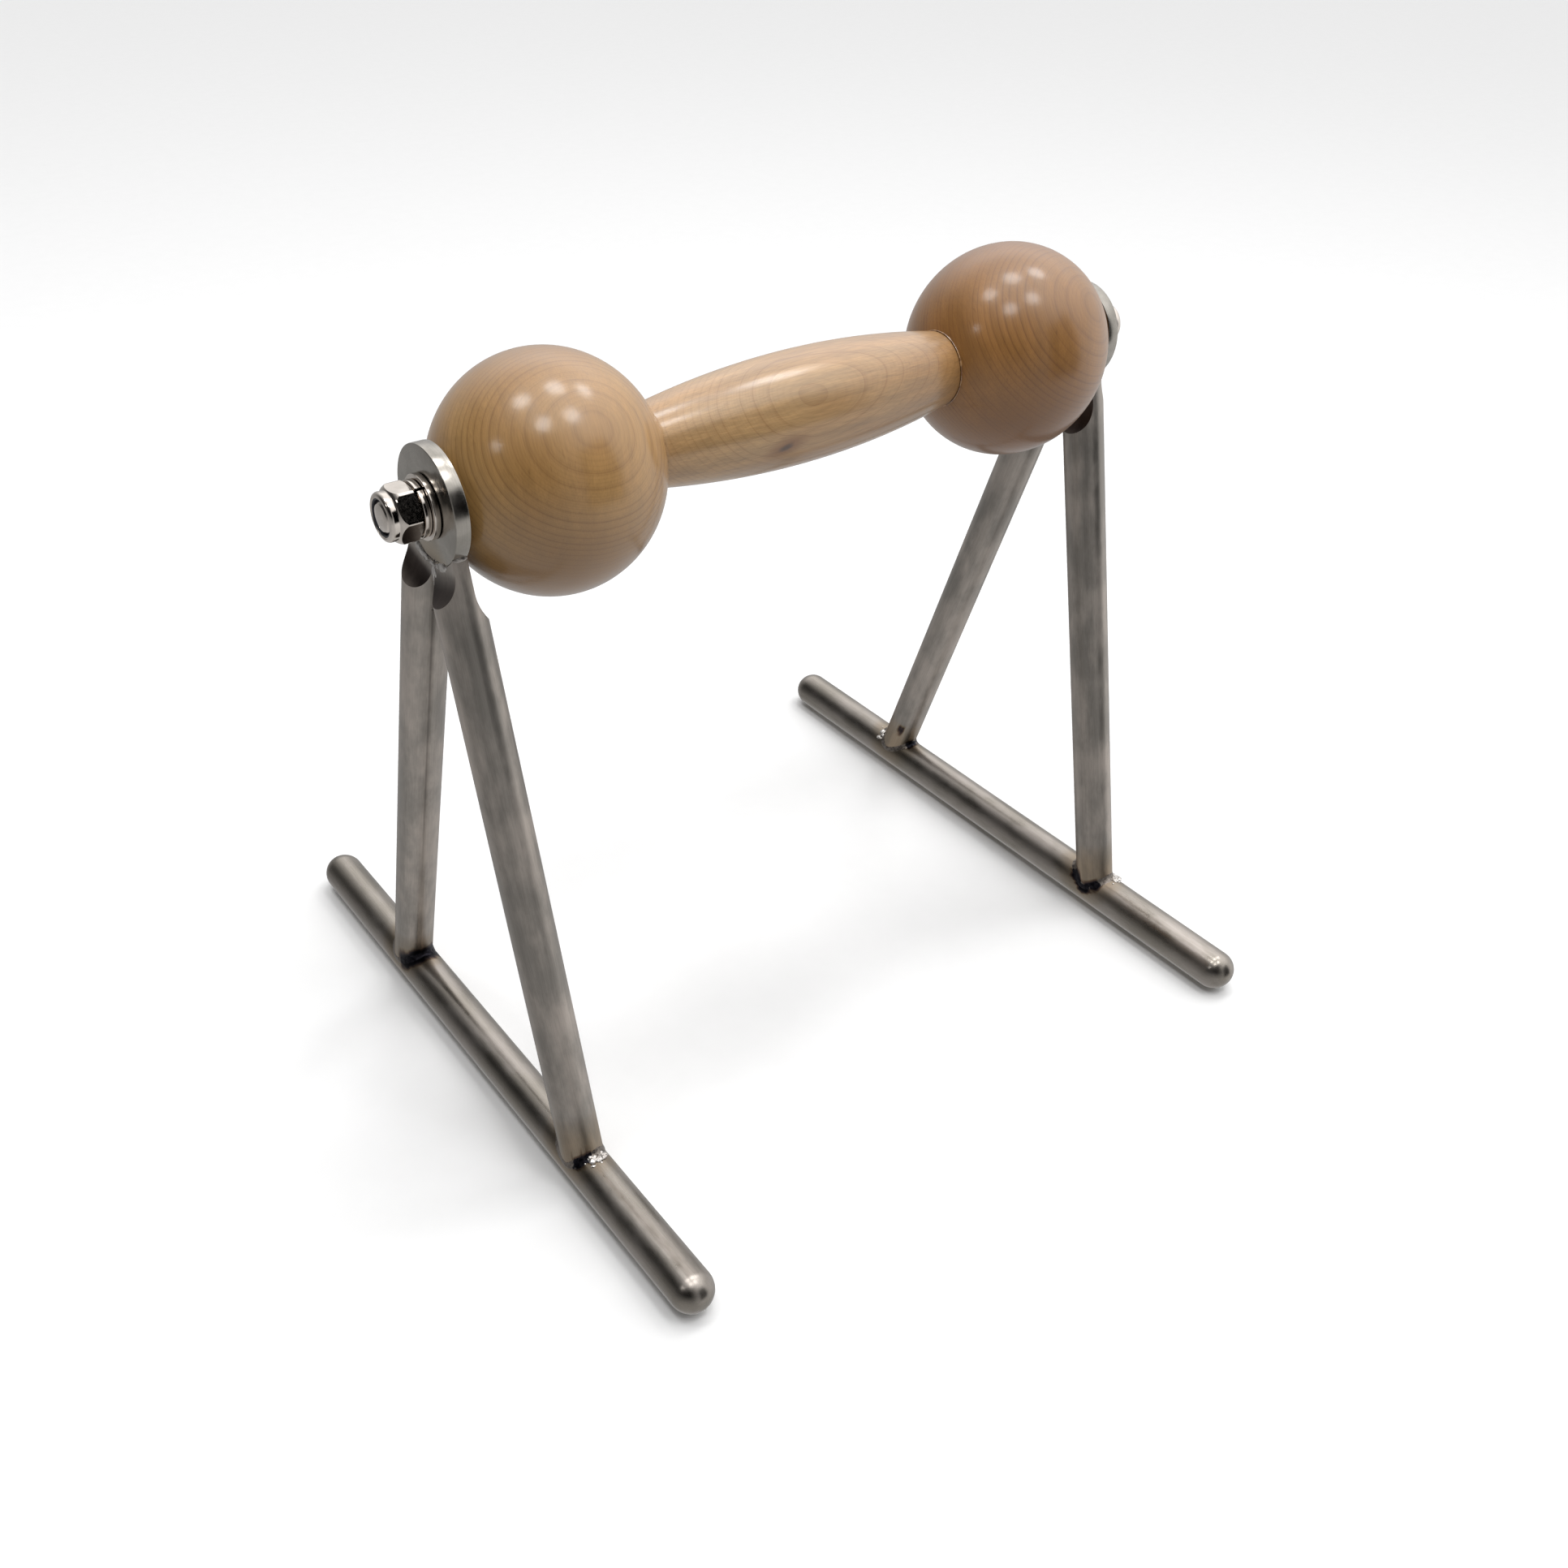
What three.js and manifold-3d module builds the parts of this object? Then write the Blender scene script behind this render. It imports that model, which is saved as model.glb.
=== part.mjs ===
// A wooden barrel grip between two wooden balls, carried on a steel axle between two A-frame stands.
// Millimetres. +X runs along the axle, +Y to the rear, +Z up.
// The origin is on the ground, midway between the stands and straight below the middle of the axle.

import * as THREE from 'three';
import { mergeVertices } from 'three/addons/utils/BufferGeometryUtils.js';
import Module from 'manifold-3d';

// Clearance kept between neighbouring pieces, and how far a cutter runs past its work.
const GAP = 0.3;
const OVERRUN = 1;

// Axle: a plain round rod with chamfered tips, in the same bore right along the stack.
const AXLE_Z = 290;
const AXLE_R = 6;
const AXLE_HALF = 187.6;
const AXLE_CHAMFER = 1.2;
const BORE_R = AXLE_R + GAP;

// Wooden balls and barrel grip.
const BALL_R = 45;
const BALL_X = 119.5;
const GRIP_MID_R = 22.6;
const GRIP_END_R = 15.8;

// A-frame stands: boss disc, two solid legs and one solid foot bar each.
const STAND_X = 166.5;
const DISC_R = 22;
const DISC_T = 6;
const LEG_R = 9.5;
const LEG_TOP_Y = 2.8;
const LEG_FOOT_Y = 82;
const FOOT_R = 10;
const FOOT_HALF = 173;
const FOOT_TIP_FLAT_R = 1.7;

// Each leg is milled down to a tang as thick as the disc. The cutter's round run-out ends lower
// on the side that faces the ball than on the side that faces out.
const CUTTER_R = 16;
const TANG_END_OUTER = 22;
const TANG_END_INNER = 31;

// Weld metal where a leg stands on its foot bar.
const WELD_SIZE = 3;
const WELD_LOWEST_Z = 12;

// M12 fasteners on each axle end.
const WASHER_R = 12;
const WASHER_BORE_R = 6.5;
const WASHER_T = 2.5;
const SPRING_R = 10.5;
const SPRING_BORE_R = 6.5;
const SPRING_T = 2.5;
const SPRING_SLIT_WIDTH = THREE.MathUtils.degToRad(8);
const SPRING_SLIT_FROM_TOP = THREE.MathUtils.degToRad(28);
const NUT_FLATS = 19;
const NUT_HEX_H = 8.4;
const NUT_H = 12;
const NUT_CHAMFER_R = 9.7;
const NUT_CHAMFER_H = 0.8;
const COLLAR_R = 9;
const COLLAR_LIP_R = 8;
const COLLAR_EDGE = 1.2;
const INSERT_R = 7.2;
const INSERT_H = 2.8;

// Facets round each kind of piece.
const WOOD_FACETS = 32;
const DISC_FACETS = 32;
const BAR_FACETS = 24;
const FASTENER_FACETS = 24;
const ARC_STEPS = 6;
const MERGE_DISTANCE = 1e-5;

// Lengths and angles that follow from the dimensions above.
const LEG_DROP = AXLE_Z - FOOT_R;
const LEG_SPREAD = LEG_FOOT_Y - LEG_TOP_Y;
const LEG_TILT = Math.atan2(LEG_SPREAD, LEG_DROP);
const LEG_LENGTH = Math.hypot(LEG_SPREAD, LEG_DROP);
const LEG_START = DISC_R - LEG_R / 2;
const CUTTER_SIZE = 4 * LEG_R;
const GRIP_SEAT_DEPTH = Math.sqrt(BALL_R ** 2 - GRIP_END_R ** 2);
const GRIP_HALF = BALL_X - GRIP_SEAT_DEPTH - GAP;
const DISC_INNER_X = STAND_X - DISC_T / 2;
const DISC_OUTER_X = STAND_X + DISC_T / 2;
const BALL_FLAT_DEPTH = DISC_INNER_X - GAP - BALL_X;

const STEEL = { color: 0x8c8781, roughness: 0.42, metalness: 1 };
const FOOT_STEEL = { color: 0x8a827a, roughness: 0.3, metalness: 1 };
const DISC_STEEL = { color: 0xa5a19b, roughness: 0.34, metalness: 1 };
const WELD_STEEL = { color: 0x4c4a4e, roughness: 0.5, metalness: 1 };
const BRIGHT_STEEL = { color: 0xc4bdb4, roughness: 0.16, metalness: 1 };
const NYLON = { color: 0x2b2d33, roughness: 0.55, metalness: 0 };
const BALL_WOOD = { color: 0xb48a5e, roughness: 0.32, metalness: 0 };
const GRIP_WOOD = { color: 0xc9a06e, roughness: 0.36, metalness: 0 };

const wasm = await Module();
wasm.setup();

// A closed three.js geometry as a manifold solid, without the flat triangles at a lathe's poles.
function solid(geometry) {
  const bare = geometry.clone();
  bare.deleteAttribute('normal');
  bare.deleteAttribute('uv');
  const merged = mergeVertices(bare, MERGE_DISTANCE);
  const corners = merged.index.array;
  const kept = [];
  for (let i = 0; i < corners.length; i += 3) {
    const [a, b, c] = [corners[i], corners[i + 1], corners[i + 2]];
    if (a !== b && b !== c && c !== a) {
      kept.push(a, b, c);
    }
  }
  const vertProperties = new Float32Array(merged.attributes.position.array);
  const triVerts = new Uint32Array(kept);
  return new wasm.Manifold(new wasm.Mesh({ numProp: 3, vertProperties, triVerts }));
}

function geometryOf(body) {
  const { vertProperties, triVerts } = body.getMesh();
  const geometry = new THREE.BufferGeometry();
  geometry.setAttribute('position', new THREE.BufferAttribute(vertProperties, 3));
  geometry.setIndex(new THREE.BufferAttribute(triVerts, 1));
  return geometry;
}

function mesh(name, geometry, look) {
  const piece = new THREE.Mesh(geometry, new THREE.MeshStandardMaterial(look));
  piece.name = name;
  return piece;
}

// Points on a circle of the given radius about (0, along), as [radius from the axis, along the axis].
function arc(radius, along, start, end) {
  const points = [];
  for (let i = 0; i <= ARC_STEPS; i += 1) {
    const angle = start + ((end - start) * i) / ARC_STEPS;
    points.push([radius * Math.cos(angle), along + radius * Math.sin(angle)]);
  }
  return points;
}

// A turned piece about the Y axis, from [radius, along] pairs listed with the metal on their left.
function turned(profile, facets) {
  const points = profile.map(([radius, along]) => new THREE.Vector2(radius, along));
  return new THREE.LatheGeometry(points, facets);
}

// The same piece turned about the X axis.
function turnedAboutX(profile, facets) {
  return turned(profile, facets).rotateZ(-Math.PI / 2);
}

// A plain ring between two places along its axis.
function ring(innerR, outerR, from, to) {
  return [[innerR, from], [outerR, from], [outerR, to], [innerR, to], [innerR, from]];
}

// --- Wood -----------------------------------------------------------------------------------

// A ball about the X axis: a flat seat for the grip at one pole, and for the disc at the other.
function ballGeometry() {
  const toGrip = -Math.asin(GRIP_SEAT_DEPTH / BALL_R);
  const toDisc = Math.asin(BALL_FLAT_DEPTH / BALL_R);
  const skin = arc(BALL_R, 0, toGrip, 0).concat(arc(BALL_R, 0, 0, toDisc).slice(1));
  const bottom = [BORE_R, -GRIP_SEAT_DEPTH];
  const profile = [bottom, ...skin, [BORE_R, BALL_FLAT_DEPTH], bottom];
  return turnedAboutX(profile, WOOD_FACETS);
}

// A barrel whose side is one long arc, with a bore for the axle.
function gripGeometry() {
  const bulge = GRIP_MID_R - GRIP_END_R;
  const sideR = (GRIP_HALF ** 2 + bulge ** 2) / (2 * bulge);
  const reach = Math.asin(GRIP_HALF / sideR);
  const side = arc(sideR, 0, -reach, reach).map(([out, along]) => [out - sideR + GRIP_MID_R, along]);
  const bottom = [BORE_R, -GRIP_HALF];
  return turnedAboutX([bottom, ...side, [BORE_R, GRIP_HALF], bottom], WOOD_FACETS);
}

// --- Stand ----------------------------------------------------------------------------------
// A stand is drawn about its own middle plane, x = 0, with +X away from the ball.

// A round bar on a leg's line, from one distance below the axle to another. side is -1 or 1 in Y.
function legBar(radius, from, to, side) {
  const bar = new THREE.CylinderGeometry(radius, radius, to - from, BAR_FACETS);
  bar.rotateX(Math.PI / 2).translate(0, 0, -(from + to) / 2);
  return placeOnLeg(bar, side);
}

function placeOnLeg(geometry, side) {
  return geometry.rotateX(side * LEG_TILT).translate(0, side * LEG_TOP_Y, AXLE_Z);
}

// A long round cutter or bar on the foot bar's line.
function footCylinder(radius) {
  const bar = new THREE.CylinderGeometry(radius, radius, 2 * FOOT_HALF, BAR_FACETS);
  return bar.translate(0, 0, FOOT_R);
}

// What the mill takes off one face of a leg, ending in the cutter's round run-out.
function scoop(tangEnd, face, side) {
  const floor = DISC_T / 2;
  const sweep = Math.acos(1 - (LEG_R + GAP - floor) / CUTTER_R);
  const outline = new THREE.Shape();
  outline.moveTo(floor, 0);
  outline.lineTo(floor, -tangEnd);
  outline.absarc(floor + CUTTER_R, -tangEnd, CUTTER_R, Math.PI, Math.PI + sweep, false);
  outline.lineTo(CUTTER_SIZE, -tangEnd - CUTTER_R * Math.sin(sweep));
  outline.lineTo(CUTTER_SIZE, 0);
  const options = { depth: CUTTER_SIZE, bevelEnabled: false, curveSegments: ARC_STEPS };
  const cutter = new THREE.ExtrudeGeometry(outline, options);
  cutter.translate(0, 0, -CUTTER_SIZE / 2).rotateX(Math.PI / 2);
  if (face < 0) {
    cutter.rotateZ(Math.PI);
  }
  return placeOnLeg(cutter, side);
}

function legGeometry(side) {
  const disc = turnedAboutX([
    [0, -CUTTER_SIZE],
    [DISC_R + GAP, -CUTTER_SIZE],
    [DISC_R + GAP, CUTTER_SIZE],
    [0, CUTTER_SIZE],
  ], DISC_FACETS);
  const otherHalf = new THREE.BoxGeometry(CUTTER_SIZE, CUTTER_SIZE, CUTTER_SIZE);
  otherHalf.translate(0, side * (GAP / 2 - CUTTER_SIZE / 2), AXLE_Z - DISC_R);
  const leg = solid(legBar(LEG_R, LEG_START, LEG_LENGTH, side))
    .subtract(solid(scoop(TANG_END_OUTER, 1, side)))
    .subtract(solid(scoop(TANG_END_INNER, -1, side)))
    .subtract(solid(disc.translate(0, 0, AXLE_Z)))
    .subtract(solid(otherHalf))
    .subtract(solid(footCylinder(FOOT_R + GAP)));
  return geometryOf(leg);
}

// The fillet of weld metal in the corner between a leg and the foot bar, all the way round.
function weldGeometry(side) {
  const from = LEG_LENGTH - CUTTER_SIZE;
  const below = new THREE.BoxGeometry(CUTTER_SIZE, 2 * FOOT_HALF, CUTTER_SIZE);
  below.translate(0, 0, WELD_LOWEST_Z - CUTTER_SIZE / 2);
  const weld = solid(legBar(LEG_R + WELD_SIZE, from, LEG_LENGTH, side))
    .intersect(solid(footCylinder(FOOT_R + WELD_SIZE)))
    .subtract(solid(legBar(LEG_R + GAP, from - OVERRUN, LEG_LENGTH + CUTTER_SIZE, side)))
    .subtract(solid(footCylinder(FOOT_R + GAP)))
    .subtract(solid(below));
  return geometryOf(weld);
}

// A round bar with a dome and a small flat at each tip. One facet lies flat on the ground.
function footBarGeometry() {
  const flat = Math.acos(FOOT_TIP_FLAT_R / FOOT_R);
  const rear = arc(FOOT_R, FOOT_HALF - FOOT_R * Math.sin(flat), 0, flat);
  const front = rear.map(([radius, along]) => [radius, -along]).reverse();
  const profile = [[0, -FOOT_HALF], ...front, ...rear, [0, FOOT_HALF]];
  const acrossFlats = 1 / Math.cos(Math.PI / BAR_FACETS);
  return turned(profile, BAR_FACETS)
    .rotateY(Math.PI / BAR_FACETS)
    .scale(acrossFlats, 1, acrossFlats)
    .translate(0, 0, FOOT_R);
}

function discGeometry() {
  return turnedAboutX(ring(BORE_R, DISC_R, -DISC_T / 2, DISC_T / 2), DISC_FACETS).translate(0, 0, AXLE_Z);
}

// turn is 0 for the right stand and half a turn for the left one, so front and rear change places.
function stand(name, turn, ends) {
  const group = new THREE.Group();
  group.add(mesh(`${name}_boss_disc`, discGeometry(), DISC_STEEL));
  group.add(mesh(`${name}_foot_bar`, footBarGeometry(), FOOT_STEEL));
  for (const [end, side] of Object.entries(ends)) {
    group.add(mesh(`${name}_${end}_leg`, legGeometry(side), STEEL));
    group.add(mesh(`${name}_${end}_weld`, weldGeometry(side), WELD_STEEL));
  }
  group.position.x = STAND_X * Math.cos(turn);
  group.rotation.z = turn;
  return group;
}

// --- Axle and fasteners ---------------------------------------------------------------------

function axleGeometry() {
  const neckR = AXLE_R - AXLE_CHAMFER;
  const shoulder = AXLE_HALF - AXLE_CHAMFER;
  const half = [[AXLE_R, shoulder], [neckR, AXLE_HALF], [0, AXLE_HALF]];
  const other = half.map(([radius, along]) => [radius, -along]).reverse();
  return turnedAboutX([...other, ...half], FASTENER_FACETS);
}

// A split ring: one turn of wire with a narrow slit.
function springWasherGeometry() {
  const slit = SPRING_SLIT_WIDTH / 2;
  const outline = new THREE.Shape();
  outline.absarc(0, 0, SPRING_R, slit, 2 * Math.PI - slit, false);
  outline.absarc(0, 0, SPRING_BORE_R, 2 * Math.PI - slit, slit, true);
  const options = { depth: SPRING_T, bevelEnabled: false, curveSegments: FASTENER_FACETS };
  return new THREE.ExtrudeGeometry(outline, options)
    .rotateY(Math.PI / 2)
    .rotateX(Math.PI - SPRING_SLIT_FROM_TOP);
}

// A hexagon nut with a round collar that holds the nylon insert. Its seat is at x = 0, and two of
// its flats face straight up and down.
function lockNutGeometry() {
  const cornerR = NUT_FLATS / Math.sqrt(3);
  const hexagon = new THREE.CylinderGeometry(cornerR, cornerR, NUT_HEX_H, 6);
  hexagon.rotateY(Math.PI / 6).translate(0, NUT_HEX_H / 2, 0).rotateZ(-Math.PI / 2);
  const chamfers = turnedAboutX([
    [0, 0],
    [NUT_CHAMFER_R, 0],
    [cornerR + GAP, NUT_CHAMFER_H],
    [cornerR + GAP, NUT_HEX_H - NUT_CHAMFER_H],
    [COLLAR_R, NUT_HEX_H],
    [0, NUT_HEX_H],
  ], FASTENER_FACETS);
  const collar = turnedAboutX([
    [0, OVERRUN],
    [COLLAR_R, OVERRUN],
    [COLLAR_R, NUT_H - COLLAR_EDGE],
    [COLLAR_LIP_R, NUT_H],
    [0, NUT_H],
  ], FASTENER_FACETS);
  const pocket = NUT_H - INSERT_H - 2 * GAP;
  const bore = turnedAboutX([
    [0, -OVERRUN],
    [BORE_R, -OVERRUN],
    [BORE_R, pocket],
    [INSERT_R + GAP, pocket],
    [INSERT_R + GAP, NUT_H + OVERRUN],
    [0, NUT_H + OVERRUN],
  ], FASTENER_FACETS);
  const nut = solid(hexagon).intersect(solid(chamfers)).add(solid(collar)).subtract(solid(bore));
  return geometryOf(nut);
}

// Everything on one axle end, outwards from the disc.
function axleEnd(name, turn) {
  const group = new THREE.Group();
  const pieces = [
    ['flat_washer', turnedAboutX(ring(WASHER_BORE_R, WASHER_R, 0, WASHER_T), FASTENER_FACETS), WASHER_T],
    ['spring_washer', springWasherGeometry(), SPRING_T],
    ['lock_nut', lockNutGeometry(), NUT_H],
  ];
  let x = DISC_OUTER_X + GAP;
  for (const [piece, geometry, thickness] of pieces) {
    const part = mesh(`${name}_${piece}`, geometry, BRIGHT_STEEL);
    part.position.x = x;
    group.add(part);
    x += thickness + GAP;
  }
  const insertBase = x - GAP - INSERT_H - GAP;
  const insert = turnedAboutX(ring(BORE_R, INSERT_R, insertBase, insertBase + INSERT_H), FASTENER_FACETS);
  group.add(mesh(`${name}_nylon_insert`, insert, NYLON));
  group.position.z = AXLE_Z;
  group.rotation.z = turn;
  return group;
}

// --- Assembly -------------------------------------------------------------------------------

function ball(name, turn) {
  const piece = mesh(name, ballGeometry(), BALL_WOOD);
  piece.position.set(BALL_X * Math.cos(turn), 0, AXLE_Z);
  piece.rotation.z = turn;
  return piece;
}

const object = new THREE.Group();
const grip = mesh('grip', gripGeometry(), GRIP_WOOD);
grip.position.z = AXLE_Z;
const axle = mesh('axle_rod', axleGeometry(), BRIGHT_STEEL);
axle.position.z = AXLE_Z;
object.add(grip, axle);
object.add(ball('left_ball', Math.PI), ball('right_ball', 0));
object.add(stand('left', Math.PI, { front: 1, rear: -1 }), stand('right', 0, { front: -1, rear: 1 }));
object.add(axleEnd('left', Math.PI), axleEnd('right', 0));

export default object;
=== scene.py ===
"""A turned wooden grip between two wooden balls, carried on a steel axle between two A-frame stands.

Metres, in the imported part's frame: +X runs along the axle, +Y to the rear, +Z up. Every piece of the
right side is built where the frame has it, and the left side is the same turned half round about Z.
"""

import math
import random

import bmesh
import bpy
from mathutils import Matrix, Quaternion, Vector, noise


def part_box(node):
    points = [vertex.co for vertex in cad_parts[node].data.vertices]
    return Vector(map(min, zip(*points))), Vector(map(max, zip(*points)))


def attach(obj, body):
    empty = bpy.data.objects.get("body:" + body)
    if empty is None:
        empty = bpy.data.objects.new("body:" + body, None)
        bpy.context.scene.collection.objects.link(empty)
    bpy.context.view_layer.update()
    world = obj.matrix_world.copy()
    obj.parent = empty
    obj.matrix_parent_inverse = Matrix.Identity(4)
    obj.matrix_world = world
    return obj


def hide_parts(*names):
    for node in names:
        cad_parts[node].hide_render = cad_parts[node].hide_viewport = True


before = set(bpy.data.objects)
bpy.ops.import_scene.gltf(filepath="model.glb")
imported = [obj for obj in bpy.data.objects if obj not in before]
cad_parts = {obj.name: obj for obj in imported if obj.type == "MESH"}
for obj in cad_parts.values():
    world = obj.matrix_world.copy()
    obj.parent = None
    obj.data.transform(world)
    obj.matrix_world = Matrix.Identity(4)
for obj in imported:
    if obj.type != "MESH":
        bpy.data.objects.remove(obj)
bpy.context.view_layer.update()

MM = 0.001
TINY = 1e-7
SIDES = {"right": Matrix.Identity(4), "left": Matrix.Rotation(math.pi, 4, "Z")}

# --- Sizes: what the frame holds is read from it, and the rest follows the part's own dimensions.

AXLE_LOW, AXLE_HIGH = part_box("axle_rod")
AXLE_Z = (AXLE_LOW.z + AXLE_HIGH.z) / 2
AXLE_R = (AXLE_HIGH.z - AXLE_LOW.z) / 2
AXLE_HALF = AXLE_HIGH.x
BORE_R = AXLE_R + 0.3 * MM

BALL_LOW, BALL_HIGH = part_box("right_ball")
BALL_R = (BALL_HIGH.z - BALL_LOW.z) / 2
GRIP_LOW, GRIP_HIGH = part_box("grip")
GRIP_HALF = GRIP_HIGH.x
GRIP_MID_R = (GRIP_HIGH.z - GRIP_LOW.z) / 2
GRIP_END_R = 15.8 * MM
BALL_X = BALL_LOW.x + math.sqrt(BALL_R**2 - GRIP_END_R**2)

DISC_LOW, DISC_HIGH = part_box("right_boss_disc")
STAND_X = (DISC_LOW.x + DISC_HIGH.x) / 2
DISC_HALF_T = (DISC_HIGH.x - DISC_LOW.x) / 2
DISC_R = (DISC_HIGH.z - DISC_LOW.z) / 2

LEG_LOW, LEG_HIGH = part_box("right_rear_leg")
LEG_R = (LEG_HIGH.x - LEG_LOW.x) / 2
LEG_TOP_Y = 2.8 * MM
LEG_FOOT_Y = 82 * MM
FOOT_LOW, FOOT_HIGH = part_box("right_foot_bar")
FOOT_R = (FOOT_HIGH.z - FOOT_LOW.z) / 2
FOOT_HALF = FOOT_HIGH.y
FOOT_TIP_FLAT_R = 1.7 * MM
FOOT_PARTS = 140
CUTTER_R = 16 * MM
TANG_END_OUTER = 22 * MM
TANG_END_INNER = 31 * MM
COPE_GAP = 0.12 * MM
LEG_TILT = math.atan2(LEG_FOOT_Y - LEG_TOP_Y, AXLE_Z - FOOT_R)
LEG_SIN = math.sin(LEG_TILT)
LEG_COS = math.cos(LEG_TILT)
LAST_STATION = 270 * MM
FLAT_STEPS = 10
ARC_STEPS = 40
SEAM_ANGLE = math.radians(77)
SEAM_HALF_WIDTH = math.radians(1.6)
SEAM_DEPTH = 0.2 * MM
SEAM_TONE = 0.45
SEAM_FADE_START = 150 * MM
SEAM_FADE_END = 235 * MM

# Which way each leg's foot points in its own stand's frame.

ENDS = {"left": {"front": 1, "rear": -1}, "right": {"front": -1, "rear": 1}}

# Marks of the welding at the feet. Turns round a leg are in degrees, from away from the ball towards away
# from the other leg. BURNS has the turns of each weld's black burns, and their reach. SHINES has the
# middle turn of its bright spatter, and the numbers of lumps and drops. LUMP and DROP have the widest
# turn from that middle, the furthest throw, and the least and the greatest size, in mm.

BURNS = {("left", "rear"): ((-135, -105, -75, -45), 5.4 * MM),
         ("left", "front"): ((48, 64, 76), 2.8 * MM),
         ("right", "rear"): ((-100, -80, -60, -40), 2.6 * MM),
         ("right", "front"): ((145, 165, 185, 205, 222), 3 * MM)}
BURN_RAGGED = 1.6 * MM
WELD_ON_LEG = 2.5 * MM
WELD_ON_BAR = 2.6 * MM
WELD_THROAT = 0.75 * MM
WARM_HEAT = 0.26
WARM_REACH = 17 * MM
SHINES = {("left", "front"): (98, 16, 14), ("right", "front"): (60, 16, 14), ("right", "rear"): (128, 7, 4)}
SHINE_TONES = (0.5, 0.7, 0.85, 0.95)
LUMP = (17, 3.4, 1.1, 2.0)
DROP = (36, 5.5, 0.3, 0.6)

# The dark oval on one leg: its turn, how far above the weld it lies, and its size.

SCARRED_LEG = ("right", "rear")
SCAR_TURN = math.radians(-153)
SCAR_RISE = 17 * MM
SCAR_SIZE = (1.9 * MM, 5.2 * MM)
SCAR_TONE = 0.84

# Beads round a disc's lower rim: the first and last turn from straight down, and the width in mm.

RIM_BEADS = ((-0.64, -0.1, 3.6), (0.1, 0.54, 3.4), (-0.16, 0.12, 2.4))
CRACK = -1

NUT_LOW, NUT_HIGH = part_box("right_lock_nut")
NUT_SEAT_X = NUT_LOW.x
NUT_H = NUT_HIGH.x - NUT_LOW.x
NUT_FLATS = NUT_HIGH.z - NUT_LOW.z
NUT_HEX_H = 8.4 * MM
NUT_SEAT_R = 9.3 * MM
COLLAR_R = 9 * MM
LIP_R = 8 * MM
SLIT_FROM_TOP = math.radians(28)
SLIT_WIDTH = math.radians(7)
SLIT_STEP = 0.12 * MM
WASHER_BORE_R = 6.5 * MM
RING_RIM = 0.4 * MM

# --- Grain of each turned piece of wood: which way it runs, and where its widest contour rings lie. GLUE
# has each bead's noise seed and size. CORNER_POINTS is how many points a rounded corner has.

BALL_GRAIN = {"left": Vector((-0.14, -0.62, -0.77)), "right": Vector((-0.14, -0.63, -0.77))}
BALL_CONTOUR = {"left": Vector((-0.02, -0.78, 0.63)), "right": Vector((0.32, -0.72, 0.62))}
PITH_DEPTH = 120 * MM
BALL_RING_PITCH = 2 * MM
BALL_RING_PHASE = 1.4 * MM
BALL_RING_WOBBLE = 0.35 * MM
NO_KNOT = 9.0
GRIP_RING_PITCH = 2.2 * MM
GRIP_RING_PHASE = 1.7 * MM
GRIP_EYE_X = -8.7 * MM
GRIP_EYE_ANGLE = math.radians(38)
GRIP_ARCH_LEFT = 80 * MM
GRIP_ARCH_RIGHT = 190 * MM
GRIP_ARCH_HEIGHT = 17 * MM
GRIP_KNOT_X = -22.6 * MM
GRIP_KNOT_ANGLE = math.radians(-13)
GRIP_KNOT_LEAN = 0.8
GRIP_KNOT_SIZE = (3.7 * MM, 1.9 * MM)
LATE_WOOD = ((0, 1), (0.05, 0.5), (0.22, 0.16), (0.72, 0), (0.93, 0.3), (1, 1))
FAINT_LINES = ((0, 1), (0.35, 0.1), (0.8, 0.05), (1, 1))
FAINT_PER_YEAR = 4.3
GLUE = {"left": (5, MM), "right": (9, 0.6 * MM)}

CORNER_POINTS = 4


# --- Mesh tools ---


def between(start, end, steps):
    """Evenly spaced values from start to end, with both of them."""
    return [start + (end - start) * k / steps for k in range(steps + 1)]


def turns(count):
    """Evenly spaced angles round a full turn."""
    return [2 * math.pi * k / count for k in range(count)]


def arc(radius, along, start, end, steps):
    """Points (along, radius from the axis) on a circle about (along, 0)."""
    return [(along + radius * math.sin(a), radius * math.cos(a)) for a in between(start, end, steps)]


def filleted(points, size):
    """A closed outline with each corner rounded off."""
    out = []
    count = len(points)
    for i in range(count):
        corner = Vector(points[i])
        before = Vector(points[i - 1]) - corner
        after = Vector(points[(i + 1) % count]) - corner
        reach = min(size, before.length * 0.45, after.length * 0.45)
        start = corner + before.normalized() * reach
        end = corner + after.normalized() * reach
        for t in between(0, 1, CORNER_POINTS - 1):
            place = start * (1 - t) ** 2 + corner * 2 * t * (1 - t) + end * t**2
            out.append((place.x, place.y))
    return out


def ring_section(low, high, bore, outer, rim):
    """A flat ring's section from face to face, with rounded edges."""
    return filleted([(low, bore), (low, outer), (high, outer), (high, bore)], rim)


def ring_vert(bm, x, radius, angle):
    """A vertex at an angle round the X axis, from straight up towards +Y."""
    return bm.verts.new((x, radius * math.sin(angle), radius * math.cos(angle)))


def number_layers(bm, *names):
    return [bm.verts.layers.float.new(name) for name in names]


def join_rows(bm, a, b):
    """Faces between two closed rings, either of which may be a single point."""
    faces = []
    count = max(len(a), len(b))
    for i in range(count):
        j = (i + 1) % count
        corners = [a[i % len(a)], a[j % len(a)], b[j % len(b)], b[i % len(b)]]
        unique = list(dict.fromkeys(corners))
        if len(unique) > 2:
            faces.append(bm.faces.new(unique))
    return faces


def join_all(bm, rows, closed=False, capped=False):
    """Faces from each ring to the next. Closed joins the last to the first, and capped fills both ends."""
    for a, b in zip(rows, rows[1:] + (rows[:1] if closed else [])):
        join_rows(bm, a, b)
    if capped:
        bm.faces.new(rows[0])
        bm.faces.new(rows[-1])


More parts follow.
